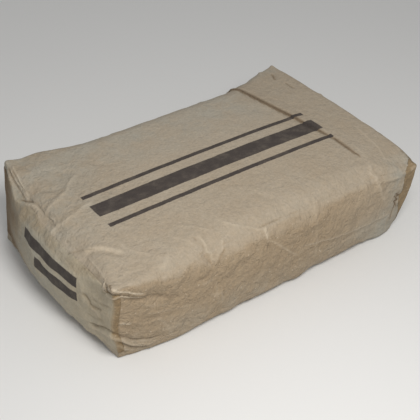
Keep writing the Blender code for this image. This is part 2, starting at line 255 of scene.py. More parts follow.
# profile, width, height (a dent is below 0), wear with painted light (rubbed pale with a painted
# highlight above 0, soiled with painted shade below), and the points that the fold runs through
namedFolds = [
    # the tuck at the far left corner: pleats that run down to a hook, a hollow beside them
    ("ridge", 0.0019, -0.0024, -0.75, [(-1, 0.95, 0.99), (-1, 0.896, 0.982), (-1, 0.789, 0.951),
        (-1, 0.685, 0.924), (-1, 0.59, 0.909), (-1, 0.492, 0.895), (-1, 0.45, 0.87)]),
    ("crest", 0.0019, 0.0018, 0.62, [(-1, 0.92, 1), (-1, 0.843, 1), (-1, 0.736, 0.975),
        (-1, 0.616, 0.95), (-1, 0.493, 0.926), (-1, 0.43, 0.945)]),
    ("crest", 0.0019, 0.0013, 0.5, [(-0.965, 0.92, 1), (-0.972, 0.849, 1), (-0.977, 0.741, 1),
        (-0.992, 0.616, 1), (-1, 0.505, 1), (-1, 0.421, 0.981)]),
    ("ridge", 0.0016, -0.0007, -0.3, [(-0.985, 0.86, 1), (-0.99, 0.741, 1), (-1, 0.616, 0.98),
        (-1, 0.50, 0.96)]),
    ("ridge", 0.0019, -0.0024, -0.95, [(-1, 0.50, 0.80), (-1, 0.475, 0.84), (-1, 0.438, 0.886),
        (-1, 0.393, 0.974), (-0.99, 0.36, 1)]),
    ("ridge", 0.0018, -0.001, -0.22, [(-1, 0.393, 0.974), (-0.992, 0.338, 1), (-0.987, 0.283, 1),
        (-0.985, 0.226, 1), (-0.985, 0.16, 1)]),
    ("ridge", 0.0022, -0.0005, -0.05, [(-0.915, 0.60, 1), (-0.93, 0.52, 1), (-0.946, 0.471, 1),
        (-0.98, 0.43, 1)]),
    ("crest", 0.006, 0.0028, 0.25, [(-1, 0.86, 0.93), (-1, 0.748, 0.87), (-1, 0.639, 0.79),
        (-1, 0.556, 0.73), (-1, 0.49, 0.74), (-1, 0.389, 0.86), (-1, 0.304, 0.98), (-0.99, 0.204, 1)]),
    ("ridge", 0.025, -0.0036, 0, [(-0.90, 0.34, 1), (-0.84, 0.44, 1), (-0.75, 0.60, 1)]),
    ("ridge", 0.016, -0.0024, -0.15, [(-1, 0.90, 0.40), (-1, 0.66, 0.30), (-1, 0.36, 0.42)]),
    # ridges that run from the left end onto the top
    ("crest", 0.0048, 0.0024, 0.22, [(-1, 0.16, 0.96), (-0.974, 0.168, 1), (-0.926, 0.179, 1),
        (-0.874, 0.209, 1), (-0.829, 0.251, 1), (-0.802, 0.284, 1), (-0.772, 0.348, 1),
        (-0.732, 0.403, 1), (-0.68, 0.45, 1)]),
    ("ridge", 0.003, -0.0012, -0.2, [(-0.975, 0.14, 1), (-0.98, 0.10, 1), (-0.975, 0.05, 1),
        (-0.985, 0.01, 1)]),
    ("crest", 0.0022, 0.0016, 0.7, [(-0.975, 0.09, 1), (-0.964, 0.058, 1), (-0.955, 0.03, 1)]),
    ("ridge", 0.0024, -0.0012, -0.25, [(-1, 0.06, 0.93), (-0.99, 0.03, 0.99), (-0.98, -0.01, 1)]),
    ("crest", 0.0056, 0.0024, 0.26, [(-1, -0.09, 0.78), (-1, -0.049, 0.868), (-0.986, -0.045, 1),
        (-0.94, -0.062, 1), (-0.888, -0.058, 1), (-0.851, -0.043, 1), (-0.821, -0.017, 1),
        (-0.778, 0.011, 1), (-0.72, 0.03, 1)]),
    ("crest", 0.004, 0.0012, 0.15, [(-1, 0.24, 0.96), (-1, 0.202, 0.917), (-1, 0.099, 0.825),
        (-1, 0.016, 0.80)]),
    ("crest", 0.003, 0.0009, 0.2, [(-1, -0.26, 0.72), (-0.99, -0.21, 1), (-0.965, -0.17, 1)]),
    ("ridge", 0.0026, -0.001, -0.2, [(-1, -0.32, 0.76), (-1, -0.38, 0.98), (-0.975, -0.43, 1)]),
    ("crest", 0.008, 0.001, 0.05, [(-0.87, -0.22, 1), (-0.78, -0.20, 1), (-0.69, -0.15, 1)]),
    # the long lens of a fold on the top beside the near left corner
    ("pleat", 0.0036, -0.002, 0.45, [(-0.99, -0.43, 1), (-0.94, -0.47, 1), (-0.89, -0.53, 1),
        (-0.86, -0.60, 1), (-0.83, -0.68, 1)]),
    ("crest", 0.0026, 0.0009, 0.15, [(-0.80, -0.52, 1), (-0.81, -0.60, 1), (-0.79, -0.70, 1),
        (-0.74, -0.80, 1)]),
    ("crest", 0.0024, 0.001, 0.22, [(-0.985, -0.50, 1), (-0.985, -0.66, 1), (-0.99, -0.80, 1),
        (-1, -0.88, 1)]),
    # the knot at the near left corner: an ear with a pale rim, and a lapped line from it under a pillow
    ("lap", 0.0014, 0.0028, -0.95, [(-0.99, -0.86, 1), (-0.997, -0.897, 1), (-0.998, -0.984, 1),
        (-0.991, -1, 0.904), (-0.983, -1, 0.873), (-0.938, -1, 0.745), (-0.904, -1, 0.65),
        (-0.85, -1, 0.53)]),
    ("crest", 0.002, 0.0024, 1.3, [(-1, -0.86, 1), (-1, -0.886, 0.975), (-1, -0.896, 0.863),
        (-1, -0.909, 0.79), (-1, -0.925, 0.73)]),
    ("ridge", 0.0018, -0.0016, -0.7, [(-1, -0.84, 0.70), (-1, -0.88, 0.76), (-1, -0.94, 0.83),
        (-1, -0.993, 0.90)]),
    ("ridge", 0.002, -0.0022, -1.2, [(-0.998, -0.915, 1), (-1, -0.935, 0.96), (-1, -0.947, 0.88),
        (-1, -0.96, 0.80)]),
    ("crest", 0.0019, 0.0016, 0.75, [(-1, -0.86, 0.68), (-1, -0.883, 0.705), (-1, -0.921, 0.72),
        (-1, -0.961, 0.75), (-0.99, -1, 0.80), (-0.973, -1, 0.79), (-0.934, -1, 0.68),
        (-0.90, -1, 0.60), (-0.86, -1, 0.53)]),
    ("crest", 0.002, 0.0012, 0.85, [(-0.985, -0.97, 1), (-0.985, -1, 0.975), (-0.975, -1, 0.935),
        (-0.95, -1, 0.87), (-0.915, -1, 0.775), (-0.87, -1, 0.67)]),
    ("ridge", 0.009, 0.0034, 0.02, [(-0.94, -1, 0.94), (-0.90, -1, 0.86), (-0.85, -1, 0.79),
        (-0.79, -1, 0.72), (-0.73, -1, 0.68), (-0.66, -1, 0.64)]),
    ("ridge", 0.005, -0.0028, -0.4, [(-0.97, -1, 0.64), (-0.943, -1, 0.613), (-0.914, -1, 0.57),
        (-0.871, -1, 0.515), (-0.825, -1, 0.453), (-0.759, -1, 0.319), (-0.68, -1, 0.20)]),
    ("crest", 0.0014, 0.0004, 0.25, [(-1, -1, 0.74), (-1, -1, 0.30), (-1, -1, -0.20), (-1, -1, -0.80)]),
    ("crest", 0.0024, 0.0007, 0.16, [(-0.90, -1, 0.44), (-0.86, -1, 0.30), (-0.80, -1, 0.20),
        (-0.74, -1, 0.14)]),
    # crinkles of the end face beside that corner
    ("ridge", 0.0028, -0.002, -0.55, [(-1, -0.60, 0.34), (-1, -0.636, 0.296), (-1, -0.69, 0.235),
        (-1, -0.70, 0.18), (-1, -0.726, 0.153), (-1, -0.802, 0.188), (-1, -0.86, 0.25)]),
    ("crest", 0.005, 0.0022, 0.35, [(-1, -0.70, 0.10), (-1, -0.76, 0.08), (-1, -0.80, 0.02),
        (-1, -0.80, -0.06)]),
    ("crest", 0.0026, 0.0012, 0.25, [(-1, -0.70, 0.44), (-1, -0.78, 0.42), (-1, -0.88, 0.48),
        (-1, -0.96, 0.56)]),
    ("ridge", 0.0026, -0.0012, -0.3, [(-1, -0.72, 0.36), (-1, -0.80, 0.34), (-1, -0.90, 0.42),
        (-1, -0.97, 0.50)]),
    ("crest", 0.0026, 0.001, 0.25, [(-1, -0.80, 0.12), (-1, -0.90, 0.20), (-1, -0.97, 0.28)]),
    ("crest", 0.003, 0.001, 0.2, [(-1, -0.456, -0.263), (-1, -0.608, -0.369), (-1, -0.74, -0.30),
        (-1, -0.90, -0.12)]),
    ("ridge", 0.0028, -0.001, -0.25, [(-1, -0.62, -0.16), (-1, -0.74, -0.16), (-1, -0.88, -0.02)]),
    ("crest", 0.0018, 0.0014, 0.8, [(-0.975, -1, 0.03), (-0.960, -1, 0.012), (-0.941, -1, -0.028),
        (-0.925, -1, -0.04)]),
    ("ridge", 0.005, -0.001, -0.2, [(-0.97, -1, -0.08), (-0.95, -1, -0.12), (-0.925, -1, -0.16)]),
    ("crest", 0.003, 0.001, 0.15, [(-0.88, -1, 0.10), (-0.78, -1, 0.00), (-0.70, -1, -0.08),
        (-0.62, -1, -0.14)]),
    ("ridge", 0.005, -0.0012, -0.15, [(-0.90, -1, -0.02), (-0.80, -1, -0.10), (-0.70, -1, -0.18)]),
    # one fold right round the bottom corner, the wedge that flares out below it
    ("ridge", 0.0026, -0.0032, -0.55, [(-1, -0.62, -0.47), (-1, -0.676, -0.41), (-1, -0.751, -0.356),
        (-1, -0.879, -0.224), (-1, -0.973, -0.17), (-0.993, -1, -0.223), (-0.974, -1, -0.348),
        (-0.953, -1, -0.433), (-0.923, -1, -0.55), (-0.875, -1, -0.634), (-0.825, -1, -0.688),
        (-0.76, -1, -0.72)]),
    ("crest", 0.0042, 0.0034, 0.4, [(-1, -0.60, -0.56), (-1, -0.696, -0.47), (-1, -0.859, -0.384),
        (-1, -0.985, -0.31), (-0.991, -1, -0.34), (-0.970, -1, -0.47), (-0.949, -1, -0.60),
        (-0.925, -1, -0.70), (-0.893, -1, -0.75), (-0.859, -1, -0.775), (-0.80, -1, -0.77)]),
    ("ridge", 0.012, 0.0026, 0.22, [(-1, -0.50, -0.80), (-1, -0.70, -0.66), (-1, -0.88, -0.62),
        (-0.99, -1, -0.66)]),
    ("ridge", 0.0028, -0.0022, -0.5, [(-0.995, -1, -0.40), (-0.983, -1, -0.47), (-0.962, -1, -0.613),
        (-0.939, -1, -0.735), (-0.907, -1, -0.80), (-0.85, -1, -0.85)]),
    ("crest", 0.0026, 0.0014, 0.35, [(-0.994, -1, -0.50), (-0.977, -1, -0.66), (-0.952, -1, -0.80),
        (-0.92, -1, -0.88)]),
    ("ridge", 0.0022, -0.001, -0.35, [(-0.99, -1, -0.68), (-0.975, -1, -0.80), (-0.95, -1, -0.90)]),
    ("crest", 0.0044, 0.001, 0.1, [(-0.80, -1, -0.58), (-0.74, -1, -0.56), (-0.66, -1, -0.60)]),
    # the lapped crease across the top near the right end, and the marks beyond it
    ("lap", 0.0022, 0.0046, -1.3, [(0.52, 1, -0.10), (0.53, 1, 0.40), (0.54, 1, 0.80), (0.545, 0.96, 1),
        (0.55, 0.76, 1), (0.565, 0.56, 1), (0.58, 0.38, 1), (0.61, 0.10, 1), (0.63, -0.10, 1),
        (0.655, -0.27, 1), (0.67, -0.40, 1)]),
    ("ridge", 0.0046, -0.0016, -0.5, [(0.555, 0.93, 1), (0.562, 0.76, 1), (0.577, 0.56, 1),
        (0.592, 0.36, 1), (0.618, 0.10, 1), (0.636, -0.08, 1), (0.652, -0.22, 1), (0.672, -0.40, 1),
        (0.675, -0.56, 1), (0.677, -0.74, 1)]),
    ("lap", 0.0018, 0.002, -1, [(0.675, -0.34, 1), (0.666, -0.432, 1), (0.667, -0.50, 1),
        (0.667, -0.561, 1), (0.67, -0.687, 1), (0.67, -0.74, 1)]),
    ("crest", 0.005, 0.001, 0.08, [(0.72, -0.50, 1), (0.715, -0.62, 1), (0.70, -0.74, 1),
        (0.67, -0.86, 1)]),
    ("ridge", 0.0032, -0.0016, -0.4, [(0.90, 0.90, 1), (0.87, 0.83, 1), (0.84, 0.76, 1)]),
    ("ridge", 0.0032, -0.0012, -0.3, [(0.88, 0.68, 1), (0.87, 0.62, 1), (0.87, 0.52, 1)]),
    # creases down the near side, from right to left
    ("ridge", 0.0015, -0.0014, -1, [(0.880, -1, 0.26), (0.834, -1, 0.20)]),
    ("ridge", 0.0015, -0.0014, -1.2, [(0.838, -1, 0.23), (0.896, -1, 0.09)]),
    ("ridge", 0.0015, -0.0014, -1.2, [(0.896, -1, 0.10), (0.820, -1, 0.17)]),
    ("ridge", 0.0015, -0.0014, -1.2, [(0.824, -1, 0.19), (0.884, -1, -0.03)]),
    ("ridge", 0.0015, -0.0014, -1.2, [(0.886, -1, -0.01), (0.828, -1, 0.01)]),
    ("ridge", 0.0015, -0.0014, -1.1, [(0.830, -1, 0.03), (0.896, -1, -0.25)]),
    # a wide shallow dent whose soiling paints a dim shade between the strokes above
    ("ridge", 0.006, -0.0006, -0.45, [(0.874, -1, 0.24), (0.862, -1, 0.06), (0.858, -1, -0.26)]),
    ("ridge", 0.0022, -0.0014, -1, [(0.860, -1, -0.04), (0.850, -1, -0.30), (0.855, -1, -0.56)]),
    ("ridge", 0.0018, -0.0014, -1, [(0.97, -0.78, 1), (1, -0.85, 1), (1, -0.92, 1), (1, -1, 1),
        (1, -1, 0.90)]),
    ("ridge", 0.005, 0.0004, 0.45, [(0.94, -1, 0.94), (0.98, -1, 0.96), (1, -0.97, 1)]),
    ("ridge", 0.0026, -0.001, -0.22, [(0.66, -1, 0.70), (0.72, -1, 0.70), (0.79, -1, 0.70),
        (0.863, -1, 0.72)]),
    ("crest", 0.0036, 0.0014, 0.2, [(0.66, -1, 0.80), (0.74, -1, 0.80), (0.82, -1, 0.82),
        (0.88, -1, 0.88)]),
    ("crest", 0.0024, 0.0008, 0.2, [(0.70, -1, 0.44), (0.78, -1, 0.46), (0.86, -1, 0.52)]),
    ("crest", 0.0026, 0.0007, 0.2, [(0.88, -0.30, 1), (0.86, -0.50, 1), (0.84, -0.68, 1),
        (0.80, -0.86, 1)]),
    ("crest", 0.0046, 0.0015, 0.24, [(0.675, -0.78, 1), (0.655, -0.88, 1), (0.645, -0.97, 1),
        (0.655, -1, 0.78), (0.68, -1, 0.50), (0.72, -1, 0.225), (0.73, -1, 0.05)]),
    ("ridge", 0.003, -0.0008, -0.15, [(0.70, -0.84, 1), (0.675, -0.95, 1), (0.69, -1, 0.74),
        (0.72, -1, 0.46)]),
    ("crest", 0.0022, 0.0013, 0.4, [(0.05, -1, 0.06), (0.203, -1, -0.075), (0.348, -1, -0.188),
        (0.493, -1, -0.255), (0.638, -1, -0.275), (0.783, -1, -0.30), (0.87, -1, -0.30)]),
    ("ridge", 0.008, -0.0016, -0.1, [(0.10, -1, -0.12), (0.25, -1, -0.24), (0.42, -1, -0.36),
        (0.60, -1, -0.40), (0.80, -1, -0.42)]),
    ("crest", 0.0024, 0.0008, 0.25, [(-0.174, -1, 0.60), (-0.116, -1, 0.512), (-0.029, -1, 0.188),
        (0.03, -1, -0.04), (0.087, -1, -0.225)]),
    ("ridge", 0.022, -0.004, 0, [(0.10, -1, -0.94), (0.45, -1, -0.94), (0.80, -1, -0.94)]),
    ("ridge", 0.01, 0.002, 0, [(0.20, -1, 0.84), (0.38, -1, 0.86), (0.62, -1, 0.84)]),
    ("crest", 0.0055, 0.001, 0.1, [(0.25, -0.84, 1), (0.215, -0.95, 1), (0.19, -1, 0.80),
        (0.185, -1, 0.50), (0.20, -1, 0.10), (0.22, -1, -0.60)]),
    ("crest", 0.0024, 0.0016, 0.7, [(-0.142, -1, 1), (-0.146, -1, 0.91), (-0.149, -1, 0.75),
        (-0.152, -1, 0.60)]),
    ("ridge", 0.0034, -0.0016, -0.35, [(-0.150, -1, 0.52), (-0.140, -1, 0.42), (-0.125, -1, 0.34)]),
    ("crest", 0.0022, 0.0007, 0.22, [(-0.14, -1, 0.90), (-0.165, -1, 0.95), (-0.211, -0.952, 1),
        (-0.265, -0.879, 1), (-0.353, -0.743, 1)]),
    ("crest", 0.0022, 0.0006, 0.12, [(-0.17, -0.70, 1), (-0.17, -0.86, 1), (-0.14, -0.98, 1)]),
    ("ridge", 0.009, 0.0012, 0.05, [(-0.44, -1, 0.72), (-0.34, -1, 0.70), (-0.24, -1, 0.70),
        (-0.15, -1, 0.72)]),
    # the V beside the middle of the near side, with its hook and the streaks below it
    ("ridge", 0.0022, -0.0013, -0.25, [(-0.515, -0.76, 1), (-0.508, -0.87, 1), (-0.514, -0.965, 1),
        (-0.514, -1, 0.79), (-0.50, -1, 0.56)]),
    ("crest", 0.0026, 0.0013, 0.3, [(-0.495, -0.78, 1), (-0.490, -0.90, 1), (-0.492, -1, 0.95),
        (-0.492, -1, 0.75), (-0.490, -1, 0.54)]),
    ("crest", 0.003, 0.0012, 0.22, [(-0.38, -0.90, 1), (-0.419, -1, 0.892), (-0.456, -1, 0.736),
        (-0.488, -1, 0.56)]),
    ("ridge", 0.0028, -0.0004, -0.03, [(-0.375, -1, 0.93), (-0.41, -1, 0.80), (-0.45, -1, 0.62),
        (-0.485, -1, 0.46)]),
    ("ridge", 0.0022, -0.0018, -0.55, [(-0.495, -1, 0.54), (-0.507, -1, 0.513), (-0.535, -1, 0.383),
        (-0.573, -1, 0.393), (-0.60, -1, 0.36)]),
    ("ridge", 0.0026, -0.0007, -0.15, [(-0.40, -1, 0.56), (-0.42, -1, 0.36), (-0.45, -1, 0.20)]),
    ("crest", 0.0022, 0.0006, 0.16, [(-0.55, -0.58, 1), (-0.50, -0.66, 1), (-0.45, -0.74, 1),
        (-0.40, -0.84, 1)]),
    ("crest", 0.0022, 0.0005, 0.15, [(-0.60, -0.70, 1), (-0.56, -0.80, 1), (-0.53, -0.90, 1)]),
    ("crest", 0.0022, 0.0005, 0.15, [(-0.36, -0.70, 1), (-0.32, -0.78, 1), (-0.28, -0.88, 1)]),
    ("pleat", 0.003, 0.0006, 0.2, [(-0.57, -1, 0.26), (-0.53, -1, 0.24), (-0.49, -1, 0.26)]),
    ("crest", 0.0026, 0.0005, 0.14, [(-0.48, -1, 0.22), (-0.475, -1, 0.10), (-0.468, -1, -0.20),
        (-0.459, -1, -0.52)]),
    ("crest", 0.0024, 0.0005, 0.18, [(-0.445, -1, 0.02), (-0.441, -1, -0.12), (-0.436, -1, -0.36),
        (-0.432, -1, -0.58)]),
    ("ridge", 0.003, -0.0008, -0.1, [(-0.43, -1, 0.16), (-0.44, -1, -0.06), (-0.42, -1, -0.34)]),
    ("crest", 0.003, 0.0007, 0.15, [(-0.52, -1, -0.10), (-0.47, -1, -0.18), (-0.40, -1, -0.20)]),
    # the right end and its corners
    ("crest", 0.005, 0.0006, 0.1, [(0.97, -0.50, 1), (1, -0.46, 0.80), (1, -0.36, 0.40)]),
    ("ridge", 0.005, -0.0018, -0.2, [(1, -0.78, 0.85), (1, -0.62, 0.50), (1, -0.56, 0.10)]),
    ("crest", 0.005, 0.0018, 0.15, [(0.94, 0.30, 1), (1, 0.34, 0.85), (1, 0.48, 0.36)]),
    ("pleat", 0.005, 0.0016, 0.15, [(1, -0.20, -0.40), (1, 0.16, -0.28), (1, 0.60, -0.38)]),
    ("ridge", 0.005, -0.0022, -0.3, [(1, 0.96, 0.30), (1, 0.84, 0.05), (1, 0.80, -0.30)]),
    ("crest", 0.004, 0.0018, 0.3, [(1, -0.96, -0.20), (1, -0.80, -0.34), (1, -0.58, -0.30)]),
    ("ridge", 0.005, -0.0026, -0.35, [(1, 0.97, -0.55), (1, 0.84, -0.70), (1, 0.64, -0.88)]),
    # creases over the far side, from right to left
    ("crest", 0.005, 0.002, 0.25, [(0.80, 0.92, 1), (0.80, 1, 0.70), (0.76, 1, 0.20)]),
    ("ridge", 0.0045, -0.002, -0.25, [(0.88, 1, 0.50), (0.84, 1, 0.10), (0.86, 1, -0.35)]),
    ("lap", 0.0022, -0.002, -0.4, [(0.58, 0.88, 1), (0.585, 1, 0.80), (0.60, 1, 0.35), (0.57, 1, -0.10)]),
    ("crest", 0.005, 0.0018, 0.2, [(0.30, 0.90, 1), (0.27, 1, 0.70), (0.20, 1, 0.10), (0.22, 1, -0.40)]),
    ("pleat", 0.0045, 0.0014, 0.2, [(0.62, 1, -0.30), (0.40, 1, -0.22), (0.16, 1, -0.30)]),
    ("crest", 0.004, 0.0013, 0.25, [(0.04, 1, 0.60), (-0.06, 1, 0.20), (-0.20, 1, -0.04)]),
    ("ridge", 0.006, -0.0022, -0.15, [(-0.36, 0.88, 1), (-0.37, 1, 0.72), (-0.40, 1, 0.30)]),
    ("crest", 0.0045, 0.0018, 0.25, [(-0.42, 0.95, 1), (-0.44, 1, 0.62), (-0.50, 1, 0.20),
        (-0.48, 1, -0.26)]),
    ("crest", 0.0035, 0.0012, 0.25, [(-0.70, 1, 0.55), (-0.62, 1, 0.20), (-0.60, 1, -0.20)]),
    ("pleat", 0.0045, -0.0018, 0.25, [(-0.97, 1, 0.36), (-0.86, 1, 0.24), (-0.74, 1, 0.26)]),
    ("ridge", 0.005, -0.0026, -0.4, [(-0.98, 1, 0.72), (-0.90, 1, 0.58), (-0.80, 1, 0.56)]),
    ("crest", 0.0055, 0.0024, 0.25, [(-0.97, 1, -0.30), (-0.88, 1, -0.52), (-0.76, 1, -0.80)]),
    ("ridge", 0.0045, -0.0022, -0.35, [(-0.98, 1, -0.55), (-0.92, 1, -0.72), (-0.84, 1, -0.92)]),
    # the glued seam that runs the length of the tube, underneath
    ("lap", 0.0012, 0.0007, -0.15, [(-0.97, 0.16, -1), (-0.40, 0.15, -1), (0.30, 0.16, -1),
        (0.97, 0.15, -1)]),
]

# Small folds strewn over the whole sack: how many, and the least and most of each size
strewnFolds = {
    "count": 320,
    "length": (0.012, 0.075),
    "width": (0.0020, 0.0050),
    "height": (0.00015, 0.00060),
    "wearAndShading": (-0.10, 0.18),
    "bend": 0.12,                   # of its length, at most
    "faces": [0.18, 0.30, 0.52],    # shares on the ends, on the long sides, and above and below
    "profiles": ["crest", "crest", "pleat", "ridge"],
    "seed": 11,
}

# Broad unevenness of the fill, then the finer blisters of the paper: grain, height and seed of each
# layer of smooth noise, and whether its valleys are sharp creases between rounded blisters
paperLumps = [
    (0.110, 0.0014, 21, False),
    (0.055, 0.0006, 22, False),
    (0.040, 0.0004, 24, True),
    (0.022, 0.0003, 25, True),
    (0.012, 0.00022, 26, True),
]

# The buckles of the paper come from a cloth simulation: a coarser sack, a little too large for its
# fill, that is softly held in its place everywhere
clothBuckles = {
    "steps": (70, 43, 20),
    "growth": 0.06,
    "heldWeight": 0.5,
    "heldStiffness": 0.08,
    "quality": 6,
    "mass": 0.15,
    "stretching": 40.0,
    "bending": 0.8,
    "bendingDamping": 0.5,
    "airDamping": 2.0,
    "frames": 20,
    "unevenness": [(0.030, 0.0008, 5), (0.015, 0.0006, 6)],   # grain, height and seed of the start
    "cap": 0.006,                   # no point moves further than this
    "share": (0.08, 0.45),          # of the buckles kept on the top, and on the sides and ends
}

# How the mesh is drawn to the folds, so that they are sharp
gathering = {
    "share": 0.5,                   # of the way to the line
    "reach": 2.4,                   # in widths of the fold
    "cutOff": 3,                    # in reaches
    "fade": 0.1,                    # share of a fold's length at either end
    "widest": 0.008,                # wider folds don't draw it
    "room": 0.6,                    # of the way to an edge of the cube, at most
}


# Each fold starts at a random place of the cube's skin, runs straight in a random direction and
# bends a little in its middle
def strewnFoldList():
    s = strewnFolds
    random = np.random.default_rng(s["seed"])
    folds = []
    half = halfSizes()
    for _ in range(s["count"]):
        middle = random.uniform(-1, 1, 3)
        face = random.choice(3, p=s["faces"])
        middle[face] = random.choice([-1, 1])
        length = s["length"][0] + (s["length"][1] - s["length"][0]) * random.uniform() ** 2
        turn = random.uniform(0, 2 * np.pi)
        way = np.zeros(3)
        way[(face + 1) % 3], way[(face + 2) % 3] = np.cos(turn), np.sin(turn)
        bend = np.zeros(3)
        bend[(face + 1) % 3], bend[(face + 2) % 3] = -np.sin(turn), np.cos(turn)
        bend = bend * random.uniform(-s["bend"], s["bend"]) * length / half
        way = way * length / 2 / half
        size = s["height"][0] + (s["height"][1] - s["height"][0]) * random.uniform() ** 1.5
        folds.append((
            random.choice(s["profiles"]),
            random.uniform(*s["width"]),
            size * random.choice([-1, 1]),
            random.uniform(*s["wearAndShading"]) * size / s["height"][1],
            [middle - way, middle + bend, middle + way],
        ))
    return folds


# Simulates the cloth and gives its points' heights above where they started, eased under the cap
# as cap * tanh(height / cap)
def simulateBuckles():
    c = clothBuckles
    coarse, coarseQuads = cubeGrid(c["steps"], sackMesh["crowding"])
    start = sackSurface(coarse)
    normals = pointNormals(start, coarseQuads)
    rise = sum(size * smoothNoise(start, grain, seed) for grain, size, seed in c["unevenness"])
    start = start + normals * rise[:, None]
    mesh = bpy.data.meshes.new("buckledCloth")
    mesh.from_pydata(start.tolist(), [], coarseQuads.tolist())
    sheet = bpy.data.objects.new("buckledCloth", mesh)
    bpy.context.scene.collection.objects.link(sheet)
    sheet.vertex_groups.new(name="held").add(list(range(len(start))), c["heldWeight"], "REPLACE")
    cloth = sheet.modifiers.new("cloth", "CLOTH")
    cloth.collision_settings.use_collision = False
    cloth.point_cache.frame_start = 1
    cloth.point_cache.frame_end = c["frames"]
    rules = cloth.settings
    rules.quality = c["quality"]
    rules.mass = c["mass"]
    rules.tension_stiffness = rules.compression_stiffness = c["stretching"]
    rules.shear_stiffness = c["stretching"] / 2
    rules.bending_stiffness = c["bending"]
    rules.bending_damping = c["bendingDamping"]
    rules.air_damping = c["airDamping"]
    rules.shrink_min = rules.shrink_max = -c["growth"]
    rules.vertex_group_mass = "held"
    rules.pin_stiffness = c["heldStiffness"]
    rules.effector_weights.gravity = 0
    for moment in range(1, c["frames"] + 1):
        bpy.context.scene.frame_set(moment)
    moved = np.empty(len(start) * 3, np.float32)
    finished = sheet.evaluated_get(bpy.context.evaluated_depsgraph_get())
    finished.data.vertices.foreach_get("co", moved)
    bpy.context.scene.frame_set(1)
    bpy.data.objects.remove(sheet, do_unlink=True)
    height = ((moved.reshape(-1, 3) - start) * normals).sum(1) + rise
    return coarse, c["cap"] * np.tanh(height / c["cap"])


# Reads the coarse heights between their points by cubic B-splines on each face of the cube, with
# straight continuations past its edges so that neighbouring faces meet
def readBuckles(cube, coarse, heights):
    face = np.abs(cube).argmax(1)
    result = np.zeros(len(cube))
    for axis in range(3):
        across, up = (axis + 1) % 3, (axis + 2) % 3
        ways = (across, up)
        stops = [crowdedStops(clothBuckles["steps"][k], sackMesh["crowding"][k]) for k in ways]
        for side in (-1, 1):
            there = np.flatnonzero(np.abs(coarse[:, axis] - side) < tiny)
            places = [np.abs(coarse[there, k][:, None] - stops[n]).argmin(1) for n, k in enumerate(ways)]
            table = np.zeros((len(stops[0]), len(stops[1])))
            table[places[0], places[1]] = heights[there]
            table = np.pad(table, 1, mode="reflect", reflect_type="odd")
            mine = np.flatnonzero((face == axis) & (cube[:, axis] * side > 0))
            total = np.zeros(len(mine))
            cells = []
            for n, k in enumerate(ways):
                spot = np.interp(cube[mine, k], stops[n], np.arange(len(stops[n])))
                cell = np.minimum(spot.astype(int), len(stops[n]) - 2)
                t = spot - cell
                weights = ((1 - t)**3, 3 * t**3 - 6 * t**2 + 4, -3 * t**3 + 3 * t**2 + 3 * t + 1, t**3)
                cells.append((cell, weights))
            for i in range(4):
                for j in range(4):
                    part = table[cells[0][0] + i, cells[1][0] + j]
                    total += part * cells[0][1][i] * cells[1][1][j] / 36
            result[mine] = total
    return result


# 1 along a fold, and 0 at both its ends, with smooth steps between
def fadeAtEnds(along, fade):
    return smoothStep(0, fade, along) * smoothStep(0, fade, 1 - along)


# The points in the box around a line, widened by the reach
def nearLine(points, line, reach):
    return np.flatnonzero(((points > line.min(0) - reach) & (points < line.max(0) + reach)).all(1))


# Points beside a fold slide along the sack towards its line: at a gap of d widths by
# share * d * exp(-(d / reach)^2), and where folds meet their pulls are averaged
def gatherToFolds(cube, quads, folds):
    points = sackSurface(cube)
    normals = pointNormals(points, quads)
    move = np.zeros_like(points)
    pulls = np.zeros(len(points))
    for _, width, _, _, through in folds:
        if width > gathering["widest"]:
            continue
        line = foldLine(through)
        reach = width * gathering["reach"]
        near = nearLine(points, line, gathering["cutOff"] * reach)
        if len(near) == 0:
            continue
        gap, along, towards = placeOnLine(points[near], normals[near], line)
        pull = np.exp(-(gap / reach) ** 2) * fadeAtEnds(along, gathering["fade"])
        move[near] += gathering["share"] * pull[:, None] * towards
        pulls[near] += pull
    move = move / np.maximum(pulls, 1)[:, None]
    return slideOnCube(cube, points, move)


# The change of a, b, c that moves a point of the sack by the given vector: the least squares fit
# to the two ways that its face of the cube leaves free, eased so that it never passes an edge
def slideOnCube(cube, points, move):
    step = 1e-4                     # for the slopes
    steady = 1e-6                   # keeps the fit solvable where a way isn't free
    onFace = np.abs(cube) > 1 - tiny
    slopes = np.zeros((len(cube), 3, 3))
    for axis in range(3):
        shifted = cube.copy()
        inwards = np.where(cube[:, axis] > 0, -step, step)
        shifted[:, axis] += inwards
        slopes[:, axis] = (sackSurface(shifted) - points) / inwards[:, None]
    slopes[onFace] = 0
    square = np.einsum("nij,nkj->nik", slopes, slopes) + steady * np.eye(3)
    wanted = np.einsum("nij,nj->ni", slopes, move)
    change = np.linalg.solve(square, wanted[..., None])[..., 0]
    room = gathering["room"] * np.maximum(1 - np.abs(cube), tiny)
    return cube + room * np.tanh(change / room) * ~onFace


paperRelief = {
    "facesUp": (0.5, 0.95),         # height of the normal where the sides end and where the top starts
    "smoother": 0.75,               # share of the lumps that the top lacks
    "blister": 0.35,                # height of a blister over its creases
    "reach": 5,                     # in widths of a fold, and for a lap
    "lapReach": 14,
    "fade": 0.16,                   # share of a fold's length at either end
    "wearAndShadingWidth": 0.6,               # in widths of a fold
}
